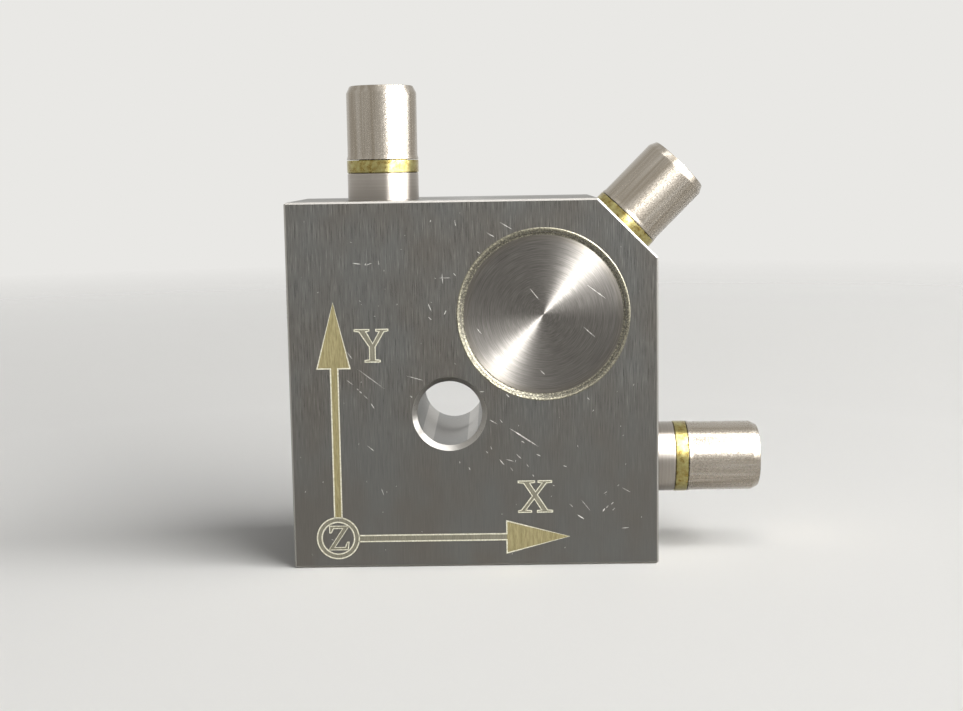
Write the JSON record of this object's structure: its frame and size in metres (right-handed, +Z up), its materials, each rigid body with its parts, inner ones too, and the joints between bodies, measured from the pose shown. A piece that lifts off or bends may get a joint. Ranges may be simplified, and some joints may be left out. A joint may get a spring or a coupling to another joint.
{
  "type": "triaxial vibration sensor",
  "caption": "Brushed steel block accelerometer with a mounting hole, welded element covers and coaxial jacks under screw-on dust caps, for measuring vibration along three axes.",
  "frame": {"origin": "on the base face, below the axis of the mounting hole and half way through the block", "axes": "+X to the right seen from the marked front face, +Y from the front face to the back face, +Z up"},
  "size_m": [0.0392, 0.015, 0.0395],
  "materials": {
    "brushed_housing": "brushed stainless steel with fine scratches",
    "turned_cover": "face-turned stainless steel",
    "alloy_screw": "blackened",
    "heavy_alloy": "ground",
    "piezo_ceramic": "silvered faces",
    "bronze_foil": "rolled",
    "ptfe": "waxy white",
    "copper_wire": "bare wire",
    "turned_steel": "fine turned",
    "gold_plate": "gold plated",
    "satin_nickel": "satin nickel plate",
    "black_rubber": "moulded"
  },
  "bodies": {
    "sensor": {"housing": "brushed_housing", "x_cover": "turned_cover", "x_preload_screw": "alloy_screw", "x_seismic_mass": "heavy_alloy", "x_outer_piezo_ring": "piezo_ceramic", "x_electrode": "bronze_foil", "x_inner_piezo_ring": "piezo_ceramic", "x_insulating_sleeve": "ptfe", "x_signal_lead": "copper_wire", "x_connector_boss": "turned_steel", "x_jack_shell": "gold_plate", "x_jack_insulator": "ptfe", "x_jack_contact": "gold_plate", "y_cover": "turned_cover", "y_preload_screw": "alloy_screw", "y_seismic_mass": "heavy_alloy", "y_outer_piezo_ring": "piezo_ceramic", "y_electrode": "bronze_foil", "y_inner_piezo_ring": "piezo_ceramic", "y_insulating_sleeve": "ptfe", "y_signal_lead": "copper_wire", "y_connector_boss": "turned_steel", "y_jack_shell": "gold_plate", "y_jack_insulator": "ptfe", "y_jack_contact": "gold_plate", "z_cover": "turned_cover", "z_preload_screw": "alloy_screw", "z_seismic_mass": "heavy_alloy", "z_outer_piezo_ring": "piezo_ceramic", "z_electrode": "bronze_foil", "z_inner_piezo_ring": "piezo_ceramic", "z_insulating_sleeve": "ptfe", "z_signal_lead": "copper_wire", "z_connector_boss": "turned_steel", "z_jack_shell": "gold_plate", "z_jack_insulator": "ptfe", "z_jack_contact": "gold_plate"},
    "x_seal": {"x_cap_gasket": "black_rubber"},
    "x_cap": {"x_dust_cap": "satin_nickel"},
    "y_seal": {"y_cap_gasket": "black_rubber"},
    "y_cap": {"y_dust_cap": "satin_nickel"},
    "z_seal": {"z_cap_gasket": "black_rubber"},
    "z_cap": {"z_dust_cap": "satin_nickel"}
  },
  "joints": [
    {"name": "x_cap_lift", "type": "slide", "parent": "sensor", "child": "x_seal", "axis": [0, 0, 1], "range_m": [0, 0.00397]},
    {"name": "x_cap_turn", "type": "hinge", "parent": "x_seal", "child": "x_cap", "pos_m": [-0.0055, 0, 0.0355], "axis": [0, 0, 1], "range_deg": [0, 1800]},
    {"name": "y_cap_lift", "type": "slide", "parent": "sensor", "child": "y_seal", "axis": [1, 0, 0], "range_m": [0, 0.00397]},
    {"name": "y_cap_turn", "type": "hinge", "parent": "y_seal", "child": "y_cap", "pos_m": [0.0222, 0, 0.0075], "axis": [1, 0, 0], "range_deg": [0, 1800]},
    {"name": "z_cap_lift", "type": "slide", "parent": "sensor", "child": "z_seal", "axis": [0.7071, 0, 0.7071], "range_m": [0, 0.00397]},
    {"name": "z_cap_turn", "type": "hinge", "parent": "z_seal", "child": "z_cap", "pos_m": [0.0166, 0, 0.0296], "axis": [0.7071, 0, 0.7071], "range_deg": [0, 1800]}
  ],
  "couplings": [
    {"joint": "x_cap_turn", "follows": "x_cap_lift", "rad_per_m": 7915.8},
    {"joint": "y_cap_turn", "follows": "y_cap_lift", "rad_per_m": 7915.8},
    {"joint": "z_cap_turn", "follows": "z_cap_lift", "rad_per_m": 7915.8}
  ]
}
